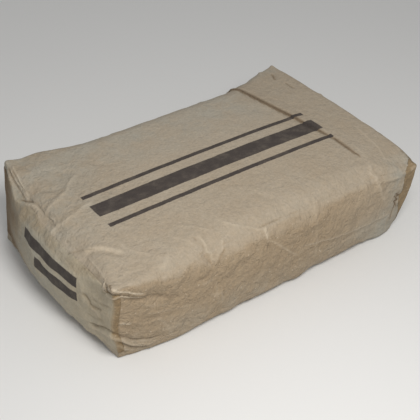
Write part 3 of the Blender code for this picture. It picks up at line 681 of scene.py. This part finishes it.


# Height above the plain sack along its normals, and wear with painted light (a highlight on crests, shade
# in dents), summed over the buckles, lumps and folds
# A blistered layer is the height of a blister less the noise's size, which is sharp where it is 0
def foldRelief(cube, points, normals, folds):
    r = paperRelief
    top, sides = clothBuckles["share"]
    facesUp = smoothStep(*r["facesUp"], normals[:, 2])
    height = readBuckles(cube, *buckles) * (sides + (top - sides) * facesUp)
    wearAndShading = np.zeros(len(points))
    for grain, size, seed, blistered in paperLumps:
        noise = smoothNoise(points, grain, seed)
        noise = r["blister"] - np.abs(noise) if blistered else noise
        height += size * (1 - r["smoother"] * facesUp) * noise
    for profile, width, size, rubbedAndLit, through in folds:
        line = foldLine(through)
        reach = width * r["lapReach" if profile == "lap" else "reach"]
        near = nearLine(points, line, reach)
        if len(near) == 0:
            continue
        gap, along, _ = placeOnLine(points[near], normals[near], line)
        window = fadeAtEnds(along, r["fade"]) * (np.abs(gap) < reach)
        height[near] += size * window * acrossFold(profile, gap / width)
        # each fold's wear: pale with a painted highlight along crests, dark with painted shade along
        # dents
        wearAndShading[near] += rubbedAndLit * window * np.exp(-(gap / (r["wearAndShadingWidth"] * width)) ** 2)
    return height, wearAndShading


# The folded sack, pressed flat where it meets the ground
def foldedSack(cube, quads, folds):
    points = sackSurface(cube)
    normals = pointNormals(points, quads)
    height, wearAndShading = foldRelief(cube, points, normals, folds)
    points = points + normals * height[:, None]
    points[:, 2] = np.maximum(points[:, 2], 0)
    return points, wearAndShading


# Zones of the sack, each given by where it starts and is full along axes 0, 1 and 2 of the cube
paperDustAndLight = {
    "facesUp": (0.25, 0.85),        # height of the normal where dust starts to lie and where it is full
    "onTop": (0.72, (-1, 0.6)),     # share at the near side, and the way to all of it at the far side
    "leftLoss": (0.58, {0: (-0.30, -0.95), 1: (-0.7, 0.2)}),
    "rightLoss": (0.22, {0: (0.56, 0.60), 1: (-0.5, 0.4)}),
    "facesOut": (0.6, 0.95),        # the same for an end, whose normal lies along the length
    # on the ends its share grows from the far side to the near side: painted light where the end turns
    # towards the lamp
    "onEnds": (0.06, (0.95, -0.2)),
    "onSides": (0.42, {0: (0.15, 0.75)}),
    "creaseLoss": (0.85, (0.05, 0.40)),     # share lost in creases with soiling and painted shade, and how deep that is
    "creaseUp": 0.8,                # only where the normal is at least so high
}

# A thin grey film: how much of it, and its zone
paperHaze = [
    (0.55, {0: (-0.30, -0.95), 1: (-0.9, 0.1)}),                    # left of the top
    (0.60, {0: (0.60, 0.54), 1: (-0.1, 0.7)}),                      # up to the lapped crease
    (0.70, {1: (0.80, 0.98)}),                                      # along the far edge
    (0.35, {2: (0.10, -0.90)}),                                     # low on the sides
    (0.85, {0: (0.35, 0.85), 1: (-0.8, -1), 2: (0.25, -0.50)}),     # low at the right of the near side
    (0.75, {0: (0.68, 0.86), 1: (-0.7, -0.95)}),                    # above that
    (0.12, {2: (0.9, 1.0)}),                                        # on all of the top
]


# The product of the smooth steps along the axes
def inZone(cube, steps):
    return np.prod([smoothStep(*step, cube[:, axis]) for axis, step in steps.items()], axis=0)


# How much dust lies on the paper, from 0 to 1, with painted light on the ends: the most of what lies on
# the top, the ends and the sides, and less in the top's soiled creases, where that adds to their painted
# shade
def dustAndLightOn(cube, normals, wearAndShading):
    d = paperDustAndLight
    least, step = d["onTop"]
    top = least + (1 - least) * smoothStep(*step, cube[:, 1])
    for loss, zone in (d["leftLoss"], d["rightLoss"]):
        top = top * (1 - loss * inZone(cube, zone))
    least, step = d["onEnds"]
    ends = least + (1 - least) * smoothStep(*step, cube[:, 1])
    share, zone = d["onSides"]
    loss, step = d["creaseLoss"]
    creases = loss * smoothStep(*step, -wearAndShading) * (normals[:, 2] > d["creaseUp"])
    return (1 - creases) * np.max([
        top * smoothStep(*d["facesUp"], normals[:, 2]),
        ends * smoothStep(*d["facesOut"], np.abs(normals[:, 0])),
        share * inZone(cube, zone),
    ], axis=0)


# The most of the film that any zone gives
def hazeOn(cube):
    return np.max([share * inZone(cube, zone) for share, zone in paperHaze], axis=0)


# A mesh of quads, with a value or a vector at each point for every attribute
def makeMesh(name, points, quads, material, **attributes):
    mesh = bpy.data.meshes.new(name)
    mesh.vertices.add(len(points))
    mesh.vertices.foreach_set("co", points.astype(np.float32).ravel())
    mesh.loops.add(quads.size)
    mesh.loops.foreach_set("vertex_index", quads.ravel().astype(np.int32))
    mesh.polygons.add(len(quads))
    mesh.polygons.foreach_set("loop_start", np.arange(0, quads.size, 4, dtype=np.int32))
    mesh.update(calc_edges=True)
    mesh.validate()
    mesh.shade_smooth()
    mesh.materials.append(material)
    for key, values in attributes.items():
        kind, field = ("FLOAT", "value") if values.ndim == 1 else ("FLOAT_VECTOR", "vector")
        attribute = mesh.attributes.new(key, kind, "POINT")
        attribute.data.foreach_set(field, values.astype(np.float32).ravel())
    piece = bpy.data.objects.new(name, mesh)
    bpy.context.scene.collection.objects.link(piece)
    return piece


# Adds nodes to a shader tree: a socket given as an input is linked, anything else is its value
def nodeAdder(tree):
    def add(kind, inputs, output=0, **settings):
        node = tree.nodes.new(kind)
        for name, value in settings.items():
            setattr(node, name, value)
        for key, value in inputs.items():
            if isinstance(value, bpy.types.NodeSocket):
                tree.links.new(value, node.inputs[key])
            else:
                node.inputs[key].default_value = value
        return node.outputs[output]
    return add


# The result of a Math node on one, two or three values
def calculate(add, operation, *values):
    return add("ShaderNodeMath", dict(enumerate(values)), operation=operation)


# The grey value of a noise: pattern is its scale, detail and roughness
def noiseAt(add, place, pattern, **settings):
    scale, detail, roughness = pattern
    inputs = {"Vector": place, "Scale": scale, "Detail": detail, "Roughness": roughness}
    return add("ShaderNodeTexNoise", inputs, **settings)


# Turns values from low to high into 0 to 1 with a smooth step
def stepped(add, value, low, high):
    inputs = {"Value": value, "From Min": low, "From Max": high}
    return add("ShaderNodeMapRange", inputs, interpolation_type="SMOOTHSTEP")


# The first colour where the share is 0 and the second where it is 1, or their product
def mixColours(add, share, first, second, blend="MIX"):
    first = (*first, 1) if isinstance(first, tuple) else first
    second = (*second, 1) if isinstance(second, tuple) else second
    return add("ShaderNodeMix", {0: share, 6: first, 7: second}, 2, data_type="RGBA", blend_type=blend)


# Where the value is low the colour is multiplied by the tint
def shaded(add, colour, value, levels, tint):
    tinted = mixColours(add, 1.0, colour, tint, "MULTIPLY")
    return mixColours(add, stepped(add, value, *levels), tinted, colour)


# One colour and roughness all over, on the shader's own sockets
def plainMaterial(name, colour, roughness):
    material = bpy.data.materials.new(name)
    material.use_nodes = True
    shader = material.node_tree.nodes["Principled BSDF"]
    shader.inputs["Base Color"].default_value = (*colour, 1)
    shader.inputs["Roughness"].default_value = roughness
    return material


# 1 inside a band of this half width round a middle, 0 outside, with an edge as soft as given
def bandMask(add, value, middle, halfWidth, soft=0.0006):
    off = calculate(add, "ABSOLUTE", calculate(add, "SUBTRACT", value, middle))
    return stepped(add, calculate(add, "SUBTRACT", halfWidth, off), -soft, soft)


# How far the edges of the print wander, in metres, and the noise that they follow
raggedEdge = {"noise": (400.0, 2.0, 0.5), "size": 0.0016}

# Plain printed bars, each by its middle and half size along and across the face that it is on
topPrint = {
    "axes": (0, 1, 2),      # along, across, out of the face
    "face": (1, 0.074),     # on which side of the middle, and how far out the face lies
    "bars": [
        (-0.013, 0.209, -0.020, 0.0150),
        (-0.013, 0.209, 0.018, 0.0040),
        (-0.013, 0.209, -0.058, 0.0040),
    ],
}
endPrint = {
    "axes": (1, 2, 0),
    "face": (-1, 0.28),
    "bars": [
        (-0.026, 0.072, 0.034, 0.0085),
        (-0.046, 0.052, 0.008, 0.0085),
    ],
}


# 1 where there is ink: inside any of the bars, with their edges a little ragged
def printMask(add, place, flat, design):
    ragged = calculate(add, "SUBTRACT", noiseAt(add, place, raggedEdge["noise"]), 0.5)
    ragged = calculate(add, "MULTIPLY", ragged, raggedEdge["size"])
    parts = add("ShaderNodeSeparateXYZ", {"Vector": flat}).node.outputs
    along, across, out = (parts[axis] for axis in design["axes"])
    along = calculate(add, "ADD", along, ragged)
    across = calculate(add, "ADD", across, ragged)
    ink = 0.0
    for middle, halfLength, height, halfWidth in design["bars"]:
        long = bandMask(add, along, middle, halfLength)
        wide = bandMask(add, across, height, halfWidth)
        ink = calculate(add, "MAXIMUM", ink, calculate(add, "MULTIPLY", long, wide))
    side, level = design["face"]
    onFace = calculate(add, "GREATER_THAN", calculate(add, "MULTIPLY", out, float(side)), level)
    return calculate(add, "MULTIPLY", ink, onFace)


sackPaper = {
    "kraft": (0.385, 0.290, 0.188),
    # dust, also the painted light on the near part of the ends
    "dustyAndLit": (0.472, 0.402, 0.310),
    "hazy": (0.425, 0.400, 0.335),
    # soiled creases, also the painted shade in dents
    "soiledAndShaded": (0.170, 0.122, 0.076),
    # rubbed crests and pale specks, also the painted highlight on crests
    "rubbedAndLit": (0.640, 0.550, 0.420),
    "ink": (0.046, 0.036, 0.032),
    "roughness": 0.88,
    "print": topPrint,
}


# Patterns of both papers: each noise by its scale, detail and roughness, the levels of it between
# which a colour changes, and the least share of the colour and what the pattern adds
paperPattern = {
    "clouds": (8.0, 4.0, 0.6),          # of dust
    "cloudLevels": (0.30, 0.70),
    "cloudShare": (0.70, 0.28),
    "wisps": (24.0, 5.0, 0.65),         # of the grey film
    "wispLevels": (0.34, 0.66),
    "wispShare": (0.25, 0.9),
    "mottle": (38.0, 4.0, 0.65),        # warm and cool patches of the pulp
    "mottleLevels": (0.30, 0.70),
    "mottleTint": (0.972, 0.960, 0.948),
    "pulp": (150.0, 3.0, 0.7),
    "pulpLevels": (0.30, 0.70),
    "pulpTint": (0.93, 0.95, 0.98),
    "speckle": (260.0, 3.0, 0.7),
    "speckleLevels": (0.28, 0.72),
    "speckleTint": (0.86, 0.86, 0.85),
    "fibre": (1.0, 2.0, 0.5),           # fibres along the tube, in a space stretched this much
    "fibreLevels": (0.3, 0.7),
    "fibreTint": (0.95, 0.95, 0.94),
    "fibreStretch": (120.0, 900.0, 900.0),
    "specks": (230.0, 1.0, 0.5),        # single pale grains
    "speckLevels": (0.70, 0.76),
    "speckShare": (0.45, -0.45),        # without dust, and what full dust adds
    "wearAndShadingShare": 0.9,                   # of a crease's wear and painted light
    "worn": (45.0, 5.0, 0.65),          # patches where the ink is thin
    "wornLevels": (0.20, 0.60),
    "wornShare": (0.82, 0.16),
    "crinkle": (70.0, 4.0, 0.6),        # relief, each with its height in metres
    "crinkleHeight": 0.00016,
    "facets": (55.0, 2.0, 0.6),
    "facetHeight": -0.0011,
    "facetBend": (30.0, 2.0, 0.5),      # bends the facets' edges by this much
    "facetBendSize": 0.03,
    "facetLacunarity": 2.3,
    "crisp": (130.0, 3.0, 0.6),
    "crispHeight": -0.0011,
    "speckleHeight": 0.00042,
    "fibreHeight": 0.00008,
    "reliefShare": (2.2, -1.4),         # without dust, and what full dust adds
}


# The least share plus what the value adds
def shareOf(add, value, share):
    return calculate(add, "MULTIPLY_ADD", value, share[1], share[0])


# Kraft under dust (with painted light on the ends) under a grey film, with mottles, specks, wear with its
# painted highlight and shade, and print in the colour, and crinkles, facets and fibres as a sum of
# heights for the bump
def makePaper(name, values):
    p = paperPattern
    material = plainMaterial(name, values["kraft"], values["roughness"])
    tree = material.node_tree
    shader = tree.nodes["Principled BSDF"]
    add = nodeAdder(tree)
    place = add("ShaderNodeTexCoord", {}, 3)
    flat = add("ShaderNodeAttribute", {}, 1, attribute_name="flatPlace")
    wearAndShading = add("ShaderNodeAttribute", {}, 2, attribute_name="wearAndShading")
    dustAndLight = add("ShaderNodeAttribute", {}, 2, attribute_name="dustAndLight")
    haze = add("ShaderNodeAttribute", {}, 2, attribute_name="haze")

    # dust in wide clouds over the kraft, with painted light on the near part of the ends, then the film
    # in smaller ones
    clouds = stepped(add, noiseAt(add, place, p["clouds"]), *p["cloudLevels"])
    share = calculate(add, "MULTIPLY", dustAndLight, shareOf(add, clouds, p["cloudShare"]))
    colour = mixColours(add, calculate(add, "MINIMUM", share, 1.0), values["kraft"], values["dustyAndLit"])
    wisps = stepped(add, noiseAt(add, place, p["wisps"]), *p["wispLevels"])
    film = calculate(add, "MULTIPLY", haze, shareOf(add, wisps, p["wispShare"]))
    colour = mixColours(add, calculate(add, "MINIMUM", film, 1.0), colour, values["hazy"])

    # the pulp's own mottles and fibres, and pale specks where no dust lies
    grains = {key: noiseAt(add, place, p[key]) for key in ("mottle", "pulp", "speckle")}
    fibrePlace = add("ShaderNodeMapping", {"Vector": place, "Scale": p["fibreStretch"]})
    grains["fibre"] = noiseAt(add, fibrePlace, p["fibre"])
    for key, grain in grains.items():
        colour = shaded(add, colour, grain, p[key + "Levels"], p[key + "Tint"])
    specks = stepped(add, noiseAt(add, place, p["specks"]), *p["speckLevels"])
    specks = calculate(add, "MULTIPLY", specks, shareOf(add, dustAndLight, p["speckShare"]))
    colour = mixColours(add, specks, colour, values["rubbedAndLit"])

    # creases are rubbed pale on their crests and soiled in their dents, which paints a highlight on the
    # crests and shade in the dents
    pale = calculate(add, "MULTIPLY", calculate(add, "MAXIMUM", wearAndShading, 0.0), p["wearAndShadingShare"])
    dark = calculate(add, "MULTIPLY", calculate(add, "MINIMUM", wearAndShading, 0.0), -p["wearAndShadingShare"])
    colour = mixColours(add, dark, colour, values["soiledAndShaded"])
    colour = mixColours(add, pale, colour, values["rubbedAndLit"])

    # the print, a little worn, and cracked where the creases are rubbed
    ink = printMask(add, place, flat, values["print"])
    worn = stepped(add, noiseAt(add, place, p["worn"]), *p["wornLevels"])
    worn = shareOf(add, worn, p["wornShare"])
    worn = calculate(add, "MULTIPLY", worn, calculate(add, "SUBTRACT", 1.0, pale))
    colour = mixColours(add, calculate(add, "MULTIPLY", ink, worn), colour, values["ink"])
    tree.links.new(colour, shader.inputs["Base Color"])

    # relief: facets between fine creases, grain and fibres, and rougher where less dust lies
    scale, detail, roughness = p["facetBend"]
    bend = {"Vector": place, "Scale": scale, "Detail": detail, "Roughness": roughness}
    bend = add("ShaderNodeTexNoise", bend, 1)
    bend = add("ShaderNodeVectorMath", {0: bend, 1: (p["facetBendSize"],) * 3}, operation="MULTIPLY")
    bentPlace = add("ShaderNodeVectorMath", {0: place, 1: bend}, operation="ADD")
    scale, detail, roughness = p["facets"]
    facets = {"Vector": bentPlace, "Scale": scale, "Detail": detail, "Roughness": roughness}
    facets = add("ShaderNodeTexVoronoi", {**facets, "Lacunarity": p["facetLacunarity"]})
    crisp = calculate(add, "SUBTRACT", noiseAt(add, place, p["crisp"]), 0.5)
    layers = [
        (noiseAt(add, place, p["crinkle"], noise_type="RIDGED_MULTIFRACTAL"), p["crinkleHeight"]),
        (grains["speckle"], p["speckleHeight"]),
        (calculate(add, "ABSOLUTE", crisp), p["crispHeight"]),
        (facets, p["facetHeight"]),
        (grains["fibre"], p["fibreHeight"]),
    ]
    height = 0.0
    for layer, size in layers:
        height = calculate(add, "MULTIPLY_ADD", layer, size, height)
    height = calculate(add, "MULTIPLY", height, shareOf(add, dustAndLight, p["reliefShare"]))
    bump = add("ShaderNodeBump", {"Height": height, "Strength": 1.0, "Distance": 1.0})
    tree.links.new(bump, shader.inputs["Normal"])
    return material


coverPaper = {
    "kraft": (0.290, 0.202, 0.107),
    # dust, also the painted light on the near part of the ends
    "dustyAndLit": (0.520, 0.455, 0.338),
    "hazy": (0.400, 0.390, 0.335),
    # soiled creases, also the painted shade in dents and on the far side of each end
    "soiledAndShaded": (0.170, 0.115, 0.062),
    # rubbed crests and pale specks, also the painted highlight on crests
    "rubbedAndLit": (0.560, 0.470, 0.350),
    "ink": (0.046, 0.036, 0.032),
    "roughness": 0.88,
    "print": endPrint,
}


greyMix = {
    "colour": (0.36, 0.35, 0.33),
    "roughness": 0.95,
    "sand": (900.0, 2.0, 0.7),
    "sandLevels": (0.3, 0.7),
    "sandColours": ((0.22, 0.21, 0.20), (0.48, 0.47, 0.44)),
    "stones": 160.0,
    "stoneLevels": (0.15, 0.35),
    "stoneColour": (0.30, 0.28, 0.26),
    "relief": 0.0010,
    "reliefStrength": 0.8,
}


# Sand and stones: a fine noise of two colours, with cells of stone in it, and both as relief
def makeGravel(name, values):
    material = plainMaterial(name, values["colour"], values["roughness"])
    tree = material.node_tree
    shader = tree.nodes["Principled BSDF"]
    add = nodeAdder(tree)
    place = add("ShaderNodeTexCoord", {}, 3)
    sand = noiseAt(add, place, values["sand"])
    stones = add("ShaderNodeTexVoronoi", {"Vector": place, "Scale": values["stones"]})
    shade = mixColours(add, stepped(add, sand, *values["sandLevels"]), *values["sandColours"])
    shade = mixColours(add, stepped(add, stones, *values["stoneLevels"]), values["stoneColour"], shade)
    tree.links.new(shade, shader.inputs["Base Color"])
    height = calculate(add, "MULTIPLY", calculate(add, "ADD", sand, stones), values["relief"])
    relief = {"Height": height, "Strength": values["reliefStrength"], "Distance": 1.0}
    bump = add("ShaderNodeBump", relief)
    tree.links.new(bump, shader.inputs["Normal"])
    return material


buckles = simulateBuckles()
print("buckles simulated")

cube, quads = cubeGrid(**sackMesh)
allFolds = namedFolds + strewnFoldList()
flatCube = gatherToFolds(cube, quads, namedFolds)
points, wearAndShading = foldedSack(flatCube, quads, allFolds)
kraft = makePaper("kraftPaper", sackPaper)
normals = pointNormals(points, quads)
onPaper = {
    "flatPlace": flatCube * halfSizes(),
    "wearAndShading": wearAndShading,
    "dustAndLight": dustAndLightOn(flatCube, normals, wearAndShading),
    "haze": hazeOn(cube),
}
paperSack = makeMesh("paperSack", points, quads, kraft, **onPaper)
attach(paperSack, "root")
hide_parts("paper_sack")
print("paper sack made:", len(points), "points")

# The cover sheets pasted on the ends: how far each wraps onto the long sides at its foot and at its
# head, how far it stays from the floor and from the top, and how far its head folds over the top's
# near corner
coverSheets = {
    "left": {
        "node": "end_sheet_left",
        "side": -1,
        "wrap": (0.0068, 0.0068),
        "bare": (0.013, 0.010),
        "folded": 0,
    },
    "right": {
        "node": "end_sheet_right",
        "side": 1,
        "wrap": (0.004, 0.029),
        "bare": (0.013, 0.002),
        "folded": 0.022,
    },
    "wrapRise": (-0.75, 0.05),      # heights between which the wrap grows
    "gap": 0.00035,                 # between the sheet and the sack
    "thickness": 0.0003,
    "cleanWrap": 0.15,              # share of the dust that lies on a wrap
    "wrapBlend": 0.025,             # share of the end's half width where the dust thins out to that
    "paintedShade": 1.15,                  # painted shade on the far side of each end: how dark, and where
    "paintedShadeZone": (0.2, 1.0),
}


# The sack's own quads out to the sheet's edge, moved out along their normals by the gap
# The last points beyond the edge slide back to it along the mesh lines, so that the edge is straight
def makeCoverSheet(name, sheet, material):
    half = halfSizes()
    side = sheet["side"]
    s = coverSheets
    foot, head = sheet["wrap"]
    ring = 2 * (sackMesh["steps"][1] + sackMesh["steps"][2])
    outwards = np.clip(np.arange(len(cube)) + side * ring, 0, len(cube) - 1)
    wrap = foot + (head - foot) * smoothStep(*s["wrapRise"], cube[:, 2])
    onTop = cube[:, 2] > 1 - tiny
    folded = np.clip(1 - (cube[:, 1] + 1) * half[1] / max(sheet["folded"], tiny), 0, 1)
    folded = folded * (sheet["folded"] > 0)
    edge = 1 - wrap * np.where(onTop, folded, 1) / half[0]
    here = side * cube[:, 0]
    there = np.where(here > 1 - tiny, 1.0, side * cube[outwards, 0])
    inside = (there > edge) & (cube[:, 2] > sheet["bare"][0] / half[2] - 1)
    inside &= (cube[:, 2] < 1 - sheet["bare"][1] / half[2]) | (folded > 0)
    chosen = quads[inside[quads].all(1)]
    used, index = np.unique(chosen, return_inverse=True)
    back = np.clip((edge - here) / np.maximum(there - here, tiny), 0, 1)[used]
    place = points + normals * s["gap"]
    place = place[used] + (place[outwards[used]] - place[used]) * back[:, None]
    onSheet = {key: values[used] for key, values in onPaper.items()}
    onEnd = (here[used] > 1 - tiny) * smoothStep(0, s["wrapBlend"], 1 - np.abs(cube[used, 1]))
    onSheet["dustAndLight"] = onSheet["dustAndLight"] * (s["cleanWrap"] + (1 - s["cleanWrap"]) * onEnd)
    onSheet["haze"] = onSheet["haze"] * onEnd
    facesOut = smoothStep(*paperDustAndLight["facesOut"], np.abs(normals[used, 0]))
    # painted shade: the far side of each end is darkened towards the soiled colour
    onSheet["wearAndShading"] = onSheet["wearAndShading"] - s["paintedShade"] * facesOut * smoothStep(*s["paintedShadeZone"], cube[used, 1])
    piece = makeMesh(name, place, index.reshape(-1, 4), material, **onSheet)
    wall = piece.modifiers.new("wall", "SOLIDIFY")
    wall.thickness = s["thickness"]
    wall.offset = 1
    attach(piece, "root")
    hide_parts(sheet["node"])


cover = makePaper("coverPaper", coverPaper)
makeCoverSheet("endSheetLeft", coverSheets["left"], cover)
makeCoverSheet("endSheetRight", coverSheets["right"], cover)
print("cover sheets made")

# The mix that fills the sack: its mesh steps and how far it stays inside the paper
mixShape = {"steps": (96, 60, 26), "inset": 0.005}


# The folded sack on a coarser mesh, moved in along its normals by the inset
def makeDryMix():
    mixCube, mixQuads = cubeGrid(mixShape["steps"], sackMesh["crowding"])
    inside, _ = foldedSack(mixCube, mixQuads, namedFolds)
    inside = inside - pointNormals(inside, mixQuads) * mixShape["inset"]
    inside[:, 2] = np.maximum(inside[:, 2], mixShape["inset"])
    mix = makeMesh("dryMix", inside, mixQuads, makeGravel("greyMix", greyMix))
    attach(mix, "root")
    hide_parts("dry_mix")


makeDryMix()
print("dry mix made")

# The camera stands where the sack's outline matches the photograph's
viewPoint = {
    "aim": (0.0214, 0.0001, 0.0738),
    "azimuth": -37.96,
    "elevation": 37.49,
    "roll": 2.42,
    "distance": 1.4854,
    "slide": (-0.0090, -0.0271),    # sideways and up, in the plane of the picture
    "pixelFocus": 898.1,            # focal length in pixels of a picture 420 wide
    "pictureWidth": 420,
    "sensorWidth": 36.0,
}


# The camera looks at the aim from its distance, turned by the roll and then slid in its own plane
def addCamera():
    v = viewPoint
    azimuth, elevation, roll = np.radians([v["azimuth"], v["elevation"], v["roll"]])
    level = np.cos(elevation)
    back = np.array([np.sin(azimuth) * level, -np.cos(azimuth) * level, np.sin(elevation)])
    right = np.array([np.cos(azimuth), np.sin(azimuth), 0])
    up = np.cross(back, right)
    turnedRight = right * np.cos(roll) + up * np.sin(roll)
    turnedUp = up * np.cos(roll) - right * np.sin(roll)
    slide = turnedRight * v["slide"][0] + turnedUp * v["slide"][1]
    place = np.array(v["aim"]) + back * v["distance"] + slide
    data = bpy.data.cameras.new("camera")
    data.sensor_width = v["sensorWidth"]
    data.lens = v["pixelFocus"] / v["pictureWidth"] * v["sensorWidth"]
    camera = bpy.data.objects.new("camera", data)
    bpy.context.scene.collection.objects.link(camera)
    turn = Matrix((turnedRight, turnedUp, back)).transposed().to_4x4()
    camera.matrix_world = Matrix.Translation(Vector(place)) @ turn
    bpy.context.scene.camera = camera


addCamera()

studio = {
    "floorReach": 6.0,
    "floorColour": (0.78, 0.78, 0.77),
    "floorRoughness": 0.9,
    "worldColour": (1.0, 1.0, 1.0),
    "worldStrength": 0.40,
    "lampPlace": (-0.316, -0.783, 1.104),
    "lampAim": (0, 0, 0.07),
    "lampSize": 0.5,
    "lampWatts": 11.3,
    "lampColour": (1.0, 0.98, 0.955),
}


# A square floor, an even backdrop, and one round soft lamp that faces its aim
def addStudio():
    s = studio
    reach = s["floorReach"]
    corners = [(-reach, -reach, 0), (reach, -reach, 0), (reach, reach, 0), (-reach, reach, 0)]
    mesh = bpy.data.meshes.new("floor")
    mesh.from_pydata(corners, [], [(0, 1, 2, 3)])
    mesh.materials.append(plainMaterial("floorPaper", s["floorColour"], s["floorRoughness"]))
    floor = bpy.data.objects.new("floor", mesh)
    bpy.context.scene.collection.objects.link(floor)
    world = bpy.data.worlds.new("studioWorld")
    world.use_nodes = True
    backdrop = world.node_tree.nodes["Background"]
    backdrop.inputs["Color"].default_value = (*s["worldColour"], 1)
    backdrop.inputs["Strength"].default_value = s["worldStrength"]
    bpy.context.scene.world = world
    light = bpy.data.lights.new("keyLamp", "AREA")
    light.shape = "DISK"
    light.size = s["lampSize"]
    light.energy = s["lampWatts"]
    light.color = s["lampColour"]
    lamp = bpy.data.objects.new("keyLamp", light)
    bpy.context.scene.collection.objects.link(lamp)
    lamp.location = s["lampPlace"]
    towards = Vector(s["lampAim"]) - Vector(s["lampPlace"])
    lamp.rotation_euler = towards.to_track_quat("-Z", "Y").to_euler()


addStudio()
bpy.context.scene.view_settings.view_transform = "Standard"
